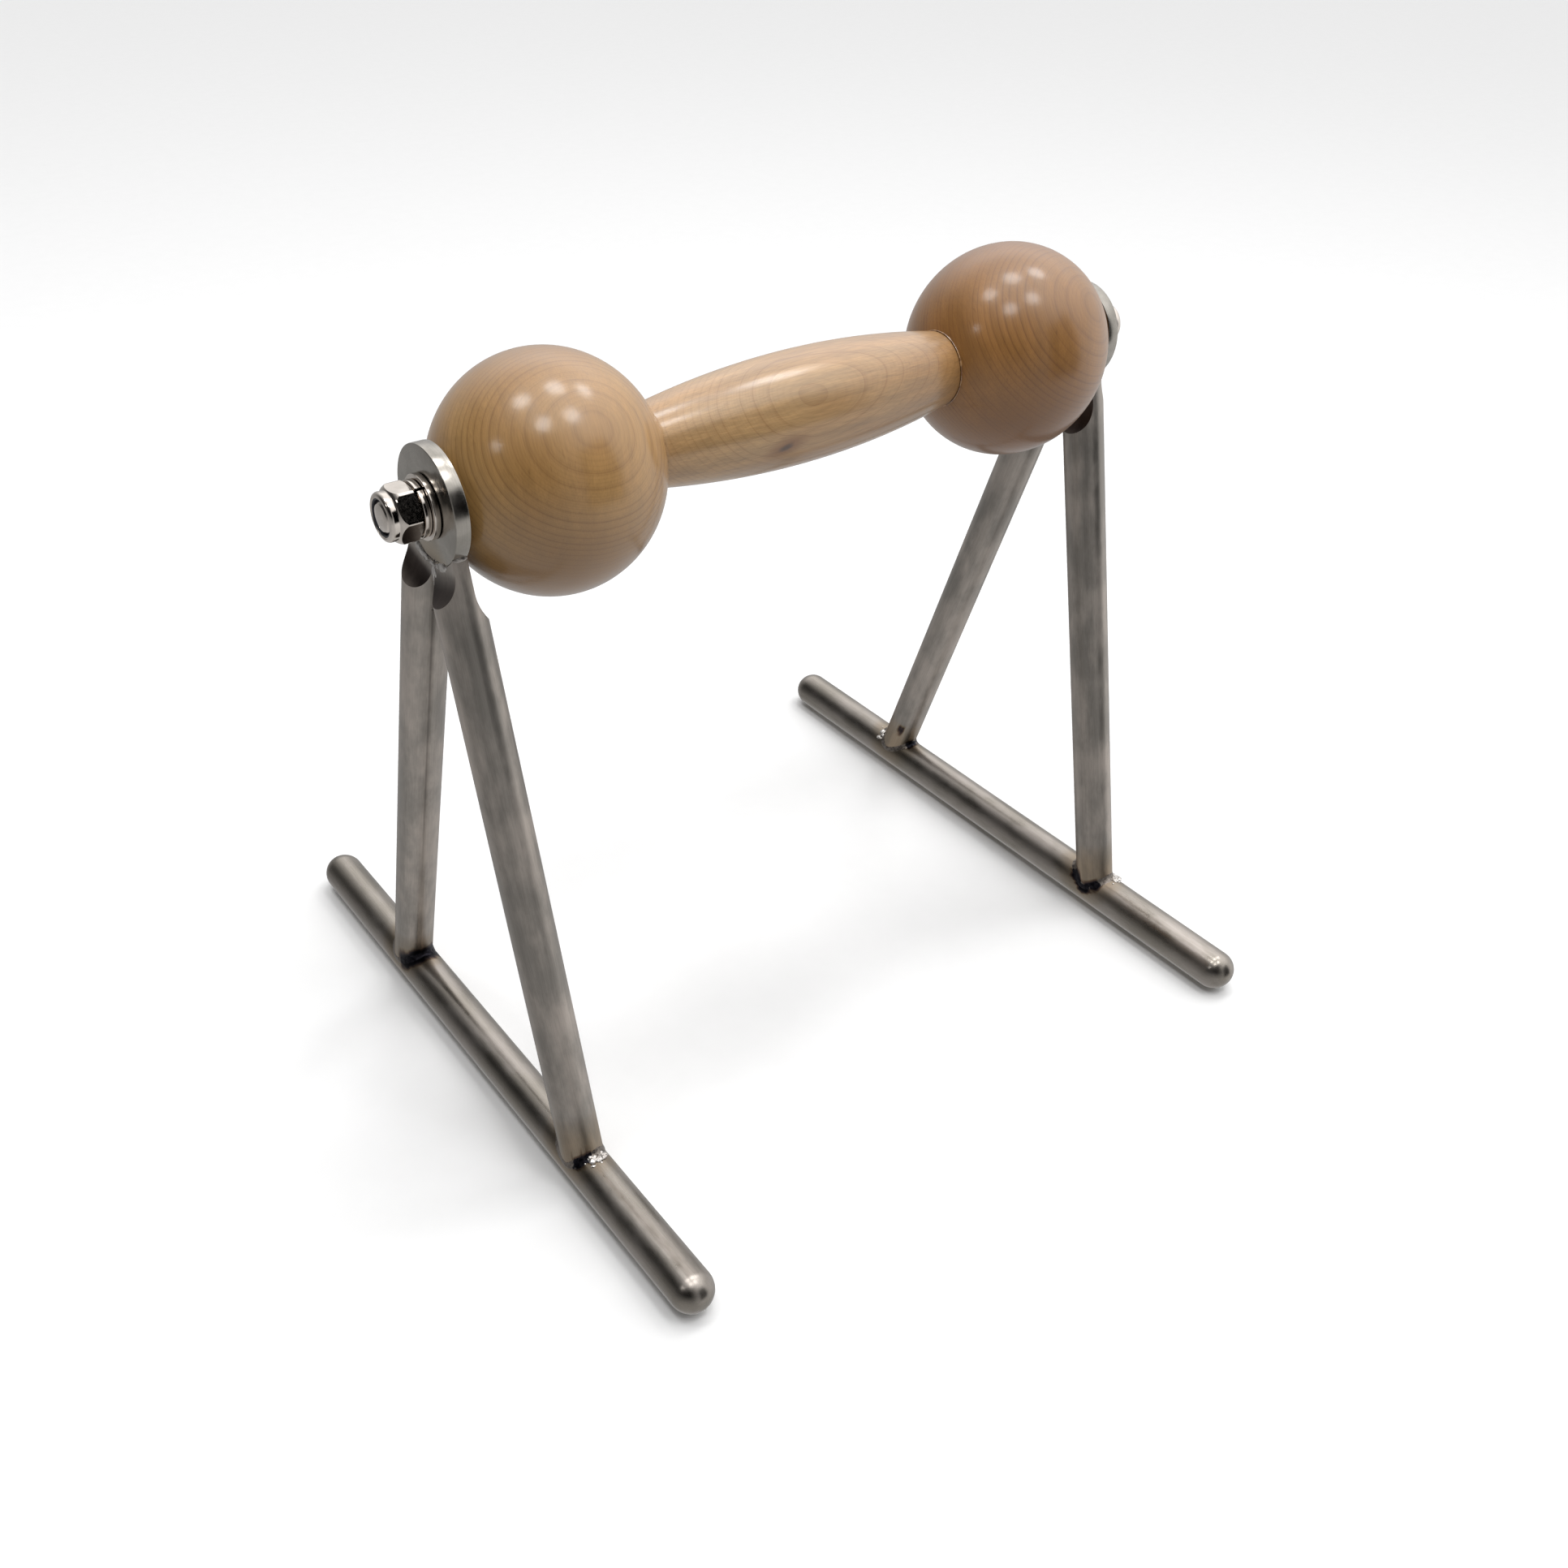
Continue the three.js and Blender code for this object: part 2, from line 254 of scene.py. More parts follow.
def turned_about_x(outline, facets, closed=True):
    """A bmesh turned about the X axis from (along, radius) points."""
    bm = bmesh.new()
    rows = []
    for along, radius in outline:
        angles = turns(facets) if radius >= TINY else [0]
        rows.append([ring_vert(bm, along, radius, a) for a in angles])
    join_all(bm, rows, closed)
    return bm


def add_object(name, data):
    made = bpy.data.objects.new(name, data)
    bpy.context.scene.collection.objects.link(made)
    return made


def add_mesh(bm, name, material):
    """A bmesh as a named object in the scene."""
    mesh = bpy.data.meshes.new(name)
    bm.to_mesh(mesh)
    bm.free()
    mesh.materials.append(material)
    return add_object(name, mesh)


def finish_piece(bm, name, matrix, material, body, replaced=(), sharp=32):
    """Turns a bmesh into a named piece in its place, riding on its body."""
    bmesh.ops.remove_doubles(bm, verts=bm.verts, dist=TINY * 10)
    bmesh.ops.recalc_face_normals(bm, faces=bm.faces)
    piece = add_mesh(bm, name, material)
    piece.data.transform(matrix)
    piece.data.shade_smooth()
    piece.data.set_sharp_from_angle(angle=math.radians(sharp))
    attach(piece, body)
    if replaced:
        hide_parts(*replaced)
    return piece


def set_numbers(piece, name, value_at):
    """A number at each vertex, worked out from its place."""
    layer = piece.data.attributes.new(name, "FLOAT", "POINT")
    layer.data.foreach_set("value", [value_at(v.co) for v in piece.data.vertices])


def set_vectors(piece, name, value_at):
    """A vector at each vertex, worked out from its place."""
    layer = piece.data.attributes.new(name, "FLOAT_VECTOR", "POINT")
    layer.data.foreach_set("vector", [x for v in piece.data.vertices for x in value_at(v.co)])


def at_axle(matrix=Matrix.Identity(4)):
    return matrix @ Matrix.Translation((0, 0, AXLE_Z))


def smoothstep(low, high, value):
    t = min(1, max(0, (value - low) / (high - low)))
    return t * t * (3 - 2 * t)


# --- Material tools ---


def colour(text):
    """An sRGB hex colour as linear RGBA."""
    parts = [int(text[i : i + 2], 16) / 255 for i in (0, 2, 4)]
    return [c / 12.92 if c <= 0.04045 else ((c + 0.055) / 1.055) ** 2.4 for c in parts] + [1]


class Nodes:
    """A node tree, with short ways to add to it."""

    def __init__(self, tree):
        self.tree = tree

    def put(self, kind, inputs=None, **settings):
        node = self.tree.nodes.new("ShaderNode" + kind)
        for key, value in settings.items():
            setattr(node, key, value)
        for key, value in (inputs or {}).items():
            self.feed(node.inputs[key], value)
        return node

    def feed(self, socket, value):
        if isinstance(value, bpy.types.NodeSocket):
            self.tree.links.new(value, socket)
        else:
            socket.default_value = value

    def math(self, operation, *inputs, clamp=False):
        return self.put("Math", dict(enumerate(inputs)), operation=operation, use_clamp=clamp).outputs[0]

    def times(self, a, b):
        return self.math("MULTIPLY", a, b)

    def vectors(self, operation, *inputs, output="Vector"):
        return self.put("VectorMath", dict(enumerate(inputs)), operation=operation).outputs[output]

    def band(self, value, low, high, to_low=0, to_high=1):
        """The value's share of the way from low to high, smoothed."""
        values = {"Value": value, "From Min": low, "From Max": high, "To Min": to_low, "To Max": to_high}
        return self.put("MapRange", values, interpolation_type="SMOOTHSTEP").outputs[0]

    def ramp(self, value, stops):
        node = self.put("ValToRGB", {"Fac": value})
        while len(node.color_ramp.elements) < len(stops):
            node.color_ramp.elements.new(0.5)
        for element, (place, shade) in zip(node.color_ramp.elements, stops):
            element.position = place
            element.color = shade
        return node.outputs["Color"]

    def curve(self, value, stops):
        """A ramp of greys, read as a number."""
        return self.ramp(value, [(place, [level] * 4) for place, level in stops])


class Look(Nodes):
    """A material's nodes."""

    def __init__(self, name):
        self.material = bpy.data.materials.new(name)
        self.material.use_nodes = True
        super().__init__(self.material.node_tree)

    def set(self, **values):
        for key, value in values.items():
            self.feed(self.tree.nodes["Principled BSDF"].inputs[key.replace("_", " ")], value)

    def number(self, name):
        return self.put("Attribute", attribute_name=name).outputs["Fac"]

    def vector(self, name):
        return self.put("Attribute", attribute_name=name).outputs["Vector"]

    def place(self):
        return self.put("TexCoord").outputs["Object"]

    def noise(self, vector, scale, detail=3, roughness=0.55, distortion=0):
        values = {"Vector": vector, "Scale": scale, "Detail": detail, "Roughness": roughness,
                  "Distortion": distortion}
        return self.put("TexNoise", values).outputs["Fac"]

    def drawn(self, grain, along, *settings):
        """Noise drawn out in the grain's Z, the further the smaller along is."""
        return self.noise(self.vectors("MULTIPLY", grain, (1, 1, along)), *settings)

    def stirred(self, value, wave, amount):
        """The value moved up or down by up to half the amount, as the wave runs."""
        return self.math("ADD", value, self.times(self.math("SUBTRACT", wave, 0.5), amount))

    def mix(self, factor, a, b, blend="MIX"):
        return self.put("Mix", {0: factor, 6: a, 7: b}, data_type="RGBA", blend_type=blend).outputs[2]

    def blend(self, value, low, high, a, b):
        """From one hex colour to another as the value goes from low to high."""
        return self.mix(self.band(value, low, high), colour(a), colour(b))

    def shade(self, base, value, depth):
        """The colour darkened where the value is low and lightened where it is high."""
        level = self.band(value, 0.25, 0.75, 1 - depth, 1 + depth)
        grey = self.put("CombineColor", {0: level, 1: level, 2: level}).outputs[0]
        return self.mix(1, base, grey, "MULTIPLY")

    def bump(self, height, strength, distance, **more):
        values = {"Height": height, "Strength": strength, "Distance": distance, **more}
        return self.put("Bump", values).outputs[0]


# --- Wood ---


def wood(name, tones, ring_pitch, line_depth, streaks=0.09, coat=0.85):
    """Lacquered, close-grained hardwood. ring is the distance from the pith, grain has Z along the fibres."""
    pale, warm, line, end_grain = (colour(tone) for tone in tones)
    look = Look(name)
    grain = look.vector("grain")
    wander = look.drawn(grain, 0.35, 22, 2)
    rings = look.math("DIVIDE", look.stirred(look.number("ring"), wander, 2 * MM), ring_pitch)
    year = look.math("FLOOR", rings)
    strength = look.put("TexWhiteNoise", {"W": year}, noise_dimensions="1D").outputs["Value"]
    late = look.curve(look.math("FRACT", rings), LATE_WOOD)
    faint = look.curve(look.math("FRACT", look.times(rings, FAINT_PER_YEAR)), FAINT_LINES)
    slow = look.drawn(grain, 0.3, 34, 2)
    fibre = look.drawn(grain, 0.06, 1700, 3, 0.6)
    streak = look.drawn(grain, 0.06, 210, 3, 0.6, 0.4)
    pores = look.drawn(grain, 0.05, 1500, 2, 0.5)

    base = look.mix(look.band(slow, 0.32, 0.7), pale, warm)
    amount = look.times(late, look.band(strength, 0, 1, line_depth * 0.1, line_depth * 1.1))
    base = look.mix(amount, base, line)
    base = look.mix(look.times(faint, line_depth * 0.22), base, line)
    base = look.shade(base, streak, streaks)
    base = look.shade(base, fibre, streaks * 0.8)
    base = look.mix(look.band(pores, 0.62, 0.75, 0, 0.28), base, line)
    ends = look.band(look.number("endgrain"), 0.35, 1.0)
    base = look.mix(look.times(ends, 0.75), base, end_grain)
    knot = look.stirred(look.number("knot"), streak, 1.6)
    base = look.mix(look.band(knot, 0.8, 3.6, 0.8, 0), base, colour("80501f"))
    base = look.mix(look.band(knot, 0.4, 1.3, 0.95, 0), base, colour("4b2b0a"))

    relief = look.math("ADD", look.times(fibre, 0.5), look.times(late, -0.4))
    orange_peel = look.noise(grain, 110, 2, 0.5)
    look.set(Base_Color=base, Roughness=look.band(streak, 0, 1, 0.42, 0.56), Specular_IOR_Level=0.52)
    look.set(Normal=look.bump(relief, 0.25, 0.1 * MM))
    look.set(Coat_Weight=coat, Coat_Roughness=0.19, Coat_IOR=1.5)
    look.set(Coat_Normal=look.bump(orange_peel, 0.35, 0.25 * MM))
    return look.material


def ball_material(side):
    if side == "left":
        return wood("left_ball_wood", ("b28951", "a37943", "714a21", "845f36"), BALL_RING_PITCH, 0.6)
    return wood("right_ball_wood", ("a27139", "8f622c", "5d3510", "75491f"), BALL_RING_PITCH, 0.6, coat=0.7)


def grip_material():
    return wood("grip_wood", ("b08c5d", "a47b4b", "774b20", "997245"), GRIP_RING_PITCH, 0.38, 0.15, 1.0)


def set_wood_fields(piece, ring_at, grain_at, end_at, knot_at):
    set_numbers(piece, "ring", ring_at)
    set_vectors(piece, "grain", grain_at)
    set_numbers(piece, "endgrain", end_at)
    set_numbers(piece, "knot", knot_at)


def ball(side):
    """A ball with a flat seat for the grip, a flat for the disc, and the axle's bore through it."""
    seat = BALL_LOW.x - BALL_X
    flat = BALL_HIGH.x - BALL_X
    skin = arc(BALL_R, 0, math.asin(seat / BALL_R), math.asin(flat / BALL_R), 110)
    bore = filleted([(seat, BORE_R), skin[0], skin[1], skin[-2], skin[-1], (flat, BORE_R)], 0.35 * MM)
    outline = bore[: 2 * CORNER_POINTS] + skin[2:-2] + bore[4 * CORNER_POINTS :]
    bm = turned_about_x([(BALL_X + x, r) for x, r in outline], 160)
    piece = finish_piece(bm, side + "_turned_ball", at_axle(SIDES[side]), ball_material(side),
                         "dumbbell", [side + "_ball"])
    centre = SIDES[side] @ Vector((BALL_X, 0, AXLE_Z))
    along = BALL_GRAIN[side].normalized()
    out = BALL_CONTOUR[side]
    out = (out - along * out.dot(along)).normalized()
    across = along.cross(out)
    pith = centre - out * PITH_DEPTH

    def ring_at(p):
        from_pith = p - pith
        wobble = BALL_RING_WOBBLE * noise.noise((p - centre) * 28)
        return math.hypot(from_pith.dot(out), from_pith.dot(across)) + wobble + BALL_RING_PHASE

    def grain_at(p):
        return (p - pith).dot(out), (p - pith).dot(across), (p - pith).dot(along)

    def end_at(p):
        return abs((p - centre).dot(along)) / BALL_R

    set_wood_fields(piece, ring_at, grain_at, end_at, lambda p: NO_KNOT)


def grip_radius(x):
    """The grip's side is one long arc."""
    bulge = GRIP_MID_R - GRIP_END_R
    side_r = (GRIP_HALF**2 + bulge**2) / (2 * bulge)
    return math.sqrt(side_r**2 - x**2) - side_r + GRIP_MID_R


def turn_from(p, angle):
    """How far round the axle a point lies from a line that many radians above the front."""
    turned = math.atan2(p.z - AXLE_Z, -p.y) - angle
    return (turned + math.pi) % (2 * math.pi) - math.pi


def grip_ring(p):
    """Rings of a flat-sawn barrel: an eye where it is fullest, with long arches on either side."""
    x = p.x - GRIP_EYE_X
    turn = turn_from(p, GRIP_EYE_ANGLE)
    reach = GRIP_ARCH_LEFT if x < 0 else GRIP_ARCH_RIGHT
    depth = x * x / (2 * reach) + GRIP_ARCH_HEIGHT * (1 - math.cos(turn))
    depth += 1.2 * MM * noise.noise(Vector((p.x * 22, turn * 0.9, 3)))
    depth += 2.2 * MM * math.exp(-((knot_distance(p) / 2.6) ** 2))
    return depth + GRIP_RING_PHASE


def knot_distance(p):
    """Distance from the knot's middle, in knot sizes."""
    across = turn_from(p, GRIP_KNOT_ANGLE) * grip_radius(GRIP_KNOT_X)
    along = p.x - GRIP_KNOT_X
    long, wide = GRIP_KNOT_SIZE
    return math.hypot((along - across * GRIP_KNOT_LEAN) / long, across / wide)


def grip():
    """The barrel between the balls, with rounded ends and the axle's bore through it."""
    steps = 150
    side = [GRIP_HALF * (2 * i / steps - 1) for i in range(steps + 1)]
    rim = 0.8 * MM
    body = [(x, grip_radius(x)) for x in side if abs(x) < GRIP_HALF - rim]
    end = grip_radius(GRIP_HALF)
    cap = filleted([(GRIP_HALF - rim, end * 0.7), (GRIP_HALF - rim * 2, end), (GRIP_HALF, end),
                    (GRIP_HALF, BORE_R)], rim)[2 * CORNER_POINTS :]
    outline = [(-x, r) for x, r in reversed(cap)] + body + cap
    piece = finish_piece(turned_about_x(outline, 176), "turned_grip", at_axle(),
                         grip_material(), "dumbbell", ["grip"])
    set_wood_fields(piece, grip_ring, lambda p: (p.y, p.z, p.x), lambda p: 0.0, knot_distance)


def glue_material():
    look = Look("glue_line")
    drops = look.noise(look.place(), 420, 2)
    look.set(Base_Color=look.blend(drops, 0.4, 0.65, "7d5632", "ad8456"))
    look.set(Roughness=look.band(drops, 0.3, 0.7, 0.2, 0.4), Specular_IOR_Level=0.6)
    look.set(Coat_Weight=1.0, Coat_Roughness=0.08)
    look.set(Normal=look.bump(drops, 0.6, 0.3 * MM))
    return look.material


def glue_line(side, material):
    """The uneven bead of glue and lacquer in the corner between the grip and a ball."""
    bm = bmesh.new()
    rows = []
    seed, scale = GLUE[side]
    for a in turns(120):
        size = (0.55 + 0.4 * noise.noise(Vector((math.cos(a) * 3, math.sin(a) * 3, seed)))) * scale
        radius = GRIP_END_R + size * 0.35
        row = []
        for t in turns(8):
            x = GRIP_HALF + 0.3 * MM + size * 1.3 * math.cos(t)
            row.append(ring_vert(bm, x, radius + size * 0.8 * math.sin(t), a))
        rows.append(row)
    join_all(bm, rows, closed=True)
    finish_piece(bm, side + "_glue_line", at_axle(SIDES[side]), material, "dumbbell", sharp=80)


# --- Steel ---


def heat_tint(look, base, heat):
    """Straw, brown and blue-black bands where a weld has heated the metal."""
    tones = ((0, "ffffff"), (0.3, "ece0cd"), (0.52, "a99686"), (0.72, "776a6c"), (0.88, "3e3c48"),
             (1, "2a2a34"))
    tint = look.ramp(heat, [(place, colour(tone)) for place, tone in tones])
    return look.mix(1, base, tint, "MULTIPLY")


def brushed_steel(name, pale, dark, roughness, streak_depth):
    """Satin stainless bar. grain has Z along the bar, burn is 1 at a weld and 0 away from it."""
    look = Look(name)
    grain = look.vector("grain")
    clouds = look.drawn(grain, 0.45, 60, 4, 0.6)
    bands = look.drawn(grain, 0.02, 170, 3, 0.6)
    lines = look.drawn(grain, 0.04, 2600, 3, 0.65)
    base = look.blend(clouds, 0.35, 0.68, dark, pale)
    base = look.shade(base, bands, streak_depth)
    base = look.shade(base, lines, 0.08)
    burn = look.number("burn")
    warm = look.math("MULTIPLY", look.stirred(burn, clouds, 0.3), look.band(burn, 0, 0.12), clamp=True)
    base = heat_tint(look, base, warm)
    # Painted shade on the milled scoops: their faces are darkened towards dark grey, as deep as the scoop's
    # painted shade number says.
    scoop_painted_shade_amount = look.times(look.number("milled"), look.number("scoop_painted_shade"))
    base = look.mix(scoop_painted_shade_amount, base, look.blend(clouds, 0.3, 0.7, "332b29", "5a504a"))
    base = look.mix(look.number("seam"), base, colour("3a3432"))
    rough = look.math("ADD", look.band(clouds, 0.3, 0.7, roughness - 0.06, roughness + 0.08),
                      look.times(warm, 0.12))
    look.set(Metallic=1.0, Base_Color=base, Roughness=rough)
    fine = look.bump(lines, 0.18, 0.05 * MM)
    look.set(Normal=look.bump(clouds, 0.12, 0.4 * MM, Normal=fine))
    return look.material


def turned_steel():
    """Lathe-turned stainless: fine rings round the axle. grain is (radius, 0, along)."""
    look = Look("turned_steel")
    rings = look.noise(look.vector("grain"), 2300, 3, 0.7)
    clouds = look.noise(look.place(), 90, 4, 0.6)
    base = look.shade(look.blend(clouds, 0.3, 0.7, "8c8881", "a39e97"), rings, 0.06)
    base = heat_tint(look, base, look.number("burn"))
    look.set(Metallic=1.0, Base_Color=base, Roughness=look.band(clouds, 0.3, 0.7, 0.17, 0.28))
    look.set(Normal=look.bump(rings, 0.3, 0.04 * MM))
    return look.material


def bright_steel():
    """Polished fasteners, with faint handling marks."""
    look = Look("bright_fastener")
    place = look.place()
    marks = look.noise(place, 700, 4, 0.65)
    smears = look.noise(place, 130, 3, 0.5)
    look.set(Metallic=1.0, Base_Color=look.blend(smears, 0.3, 0.7, "bdb5ad", "d2cac2"))
    look.set(Roughness=look.band(marks, 0.3, 0.75, 0.08, 0.15))
    look.set(Normal=look.bump(smears, 0.12, 0.2 * MM))
    return look.material


def weld_material():
    """Weld metal: black where burn is 1, silver where bright is 1, and grey elsewhere."""
    look = Look("weld_metal")
    place = look.place()
    crust = look.noise(place, 520, 4, 0.65)
    grains = look.noise(place, 1700, 3, 0.6)
    burnt = look.blend(crust, 0.35, 0.65, "131318", "2f2d33")
    clean = look.blend(crust, 0.35, 0.65, "5d5651", "8a837c")
    silver = look.blend(crust, 0.35, 0.65, "a9a49f", "f2efec")
    dark = look.mix(look.band(look.number("burn"), 0.45, 0.8), clean, burnt)
    look.set(Metallic=1.0, Base_Color=look.mix(look.number("bright"), dark, silver))
    look.set(Roughness=look.band(crust, 0.3, 0.7, 0.28, 0.55))
    rough_skin = look.math("ADD", crust, look.times(grains, 0.3))
    look.set(Normal=look.bump(rough_skin, 0.45, 0.3 * MM))
    return look.material


def nylon():
    look = Look("dark_nylon")
    scuffs = look.noise(look.place(), 800, 3, 0.6)
    look.set(Base_Color=look.blend(scuffs, 0.4, 0.7, "22242b", "3a3d46"))
    look.set(Roughness=look.band(scuffs, 0.3, 0.7, 0.4, 0.62))
    look.set(Normal=look.bump(scuffs, 0.3, 0.1 * MM))
    return look.material


def stand_matrix(side):
    """From a stand's own frame, with x = 0 in its middle plane and +X away from the ball."""
    return SIDES[side] @ Matrix.Translation((STAND_X, 0, 0))


def on_leg(x, across, down, facing):
    """A place in a stand's frame from one on a leg: across is away from the other leg."""
    y = LEG_TOP_Y + down * LEG_SIN + across * LEG_COS
    z = AXLE_Z - down * LEG_COS + across * LEG_SIN
    return Vector((x, facing * max(y, 0.08 * MM), z))


def cope_start(across):
    """How far down the leg its coped end meets the disc's rim."""
    return math.sqrt((DISC_R + COPE_GAP) ** 2 - (across + LEG_TOP_Y * LEG_COS) ** 2) - LEG_TOP_Y * LEG_SIN


def cope_end(x, across):
    """How far down the leg it meets the foot bar."""
    top = FOOT_R + math.sqrt(max(0, FOOT_R**2 - x**2))
    return (AXLE_Z - top + across * LEG_SIN) / LEG_COS


def cutter_depth(down, tang_end):
    """How far from the middle plane the milled face lies."""
    past = down - tang_end
    if past <= 0:
        return DISC_HALF_T
    if past >= CUTTER_R:
        return LEG_R
    return min(LEG_R, DISC_HALF_T + CUTTER_R - math.sqrt(CUTTER_R**2 - past**2))


def leg_section(down):
    """(x, across) points round the leg: outer flat, one round side, inner flat, other round side."""
    outer = cutter_depth(down, TANG_END_OUTER)
    inner = cutter_depth(down, TANG_END_INNER)
    outer_w = math.sqrt(max(0, LEG_R**2 - outer**2))
    inner_w = math.sqrt(max(0, LEG_R**2 - inner**2))
    start = math.atan2(outer_w, outer)
    end = math.pi - math.atan2(inner_w, inner)
    shares = [1 - 2 * k / FLAT_STEPS for k in range(FLAT_STEPS)]
    points = [(outer, outer_w * share) for share in shares]
    points += [(LEG_R * math.cos(a), -LEG_R * math.sin(a)) for a in between(start, end, ARC_STEPS)[:-1]]
    points += [(-inner, -inner_w * share) for share in shares]
    points += [(LEG_R * math.cos(a), LEG_R * math.sin(a)) for a in between(end, start, ARC_STEPS)[:-1]]
    return points


def leg_rows():
    """Distances down the leg of its rows of vertices, closest together where the milled faces end."""
    run = math.sqrt(CUTTER_R**2 - (CUTTER_R + DISC_HALF_T - LEG_R) ** 2)
    rows = {TANG_END_OUTER, LAST_STATION}
    for tang_end in (TANG_END_OUTER, TANG_END_INNER):
        last = tang_end + run
        rows |= {tang_end + run * k / 14 for k in range(14)}
        rows |= {last - 3 * MM * (k / 10) ** 2 for k in range(11)}
    rows |= set(between(TANG_END_INNER + run, LAST_STATION, 90))
    ordered = sorted(rows)
    return [a for a, b in zip(ordered, ordered[1:]) if b - a > TINY * 20] + ordered[-1:]


def leg(side, end, facing, material):
    """A round bar milled to a tang at its top and coped to the foot bar."""
    bm = bmesh.new()
    grain = bm.verts.layers.float_vector.new("grain")
    scoop_painted_shade, seam, burn = number_layers(bm, "scoop_painted_shade", "seam", "burn")
    milled = bm.faces.layers.float.new("milled")
    rows = []

    def add_row(points):
        row = []
        for x, across, down in points:
            vert = bm.verts.new(on_leg(x, across, down, facing))
            vert[grain] = (x, across, down)
            # Painted shade for the milled scoops, which darkens their faces.
            vert[scoop_painted_shade] = painted_scoop_shade_at(end, down)
            vert[burn] = heat_near_welds(vert.co, side, {end: facing})
            if (side, end) == SCARRED_LEG:
                vert[burn] = max(vert[burn], scar(x, across, down))
            row.append(vert)
        rows.append(row)

    for share in (0, 0.35, 0.7):
        tops = [(x, across, cope_start(across)) for x, across in leg_section(TANG_END_OUTER)]
        add_row([(x, across, top + (TANG_END_OUTER - top) * share) for x, across, top in tops])
    for down in leg_rows():
        add_row([(x, across, down) for x, across in leg_section(down)])
    for share in (0.2, 0.45, 0.7, 0.87, 1):
        feet = [(x, across, cope_end(x, across) + 0.25 * MM) for x, across in leg_section(LAST_STATION)]
        add_row([(x, across, LAST_STATION + (foot - LAST_STATION) * share) for x, across, foot in feet])
    if end == "rear":
        score_seam(rows, grain, seam, facing)
    for a, b in zip(rows, rows[1:]):
        for k, face in enumerate(join_rows(bm, a, b)):
            face[milled] = k % (FLAT_STEPS + ARC_STEPS) < FLAT_STEPS
    close_end(bm, rows[0])
    close_end(bm, rows[-1])
    finish_piece(bm, f"{side}_{end}_leg_bar", stand_matrix(side), material, side + "_stand",
                 [f"{side}_{end}_leg"], 28)


def painted_scoop_shade_at(end, down):
    """How deep the painted shade in a milled scoop is: from its top on a rear leg, and towards its foot on a
    front leg.
    """
    past = down - TANG_END_OUTER
    if end == "rear":
        return smoothstep(MM, 5 * MM, past) * (1 - 0.35 * smoothstep(8 * MM, 15 * MM, past))
    return 0.5 * smoothstep(0, 3 * MM, past) + 0.5 * smoothstep(2 * MM, 8 * MM, past)


def scar(x, across, down):
    """A dark oval scar on the leg's side, a little above its weld."""
    round_leg = (math.atan2(across, x) - SCAR_TURN) * LEG_R
    rise = cope_end(x, across) - down - SCAR_RISE
    reach = math.hypot((round_leg + rise * 0.25) / SCAR_SIZE[0], rise / SCAR_SIZE[1])
    return SCAR_TONE * smoothstep(1.3, 0.5, reach + 0.3 * noise.noise(Vector((x, across, down)) * 600))


def score_seam(rows, grain, seam, facing):
    """The fine line drawn down the side of a rear leg that faces the other leg."""
    for vert in sum(rows, []):
        x, across, down = vert[grain]
        angle = math.atan2(-across, x)
        if down < TANG_END_INNER + 10 * MM or across > 0 or abs(angle - SEAM_ANGLE) >= SEAM_HALF_WIDTH:
            continue
        vert[seam] = SEAM_TONE * smoothstep(SEAM_FADE_END, SEAM_FADE_START, down)
        outward = Vector((math.cos(angle), -facing * math.sin(angle) * LEG_COS, -math.sin(angle) * LEG_SIN))
        vert.co -= outward * SEAM_DEPTH


def close_end(bm, row):
    """Closes an end with faces between points that face each other across the bar."""
    half = len(row) // 2
    first = FLAT_STEPS + (half - FLAT_STEPS) // 2 - half
    for i in range(first, first + half):
        mirror = half + FLAT_STEPS - i
        corners = list(dict.fromkeys(row[k % len(row)] for k in (i, i + 1, mirror - 1, mirror)))
        if len(corners) > 2:
            bm.faces.new(corners)


def weld_corner(turn, facing):
    """The corner between a leg and the foot bar, so far round the leg from the stand's own +X."""
    x = LEG_R * math.cos(turn)
    across = LEG_R * math.sin(turn)
    return on_leg(x, across, cope_end(x, across), facing)


def heat_near_welds(place, side, ends):
    """1 where a weld has burnt the steel black, a warm tint around it, and 0 away from it."""
    heat = 0
    for end, facing in ends.items():
        middle = on_leg(0, 0, cope_end(0, 0), facing)
        wide = (place - middle).length - LEG_R
        heat = max(heat, WARM_HEAT * smoothstep(WARM_REACH, 0, wide))
        burns, reach = BURNS[side, end]
        for turn in burns:
            from_burn = (place - weld_corner(math.radians(turn), facing)).length
            ragged = BURN_RAGGED * noise.fractal(place * 260, 0.7, 2.2, 3)
            heat = max(heat, smoothstep(reach * 1.6, reach * 0.6, from_burn + ragged))
    return heat


def foot_bar(side, material):
    """A round bar with a dome and a small flat at each tip."""
    flat = math.acos(FOOT_TIP_FLAT_R / FOOT_R)
    dome = arc(FOOT_R, FOOT_HALF - FOOT_R * math.sin(flat), 0, flat, 24)
    straight = dome[0][0]
    middle = [(straight * (2 * k / FOOT_PARTS - 1), FOOT_R) for k in range(1, FOOT_PARTS)]
    outline = [(-FOOT_HALF, 0)] + [(-y, r) for y, r in reversed(dome)] + middle + dome + [(FOOT_HALF, 0)]
    lay_along_y = Matrix.Translation((0, 0, FOOT_R)) @ Matrix.Rotation(math.pi / 2, 4, "Z")
    piece = finish_piece(turned_about_x(outline, 96, False), side + "_foot_rod",
                         stand_matrix(side) @ lay_along_y, material, side + "_stand",
                         [side + "_foot_bar"], 40)
    x = stand_matrix(side).translation.x
    back = stand_matrix(side).inverted()
    set_vectors(piece, "grain", lambda p: (p.x - x, p.z, p.y + x))
    set_numbers(piece, "burn", lambda p: heat_near_welds(back @ p, side, ENDS[side]))


def ripple(place, scale, depth):
    return depth * noise.fractal(place * scale, 0.8, 2.1, 4)


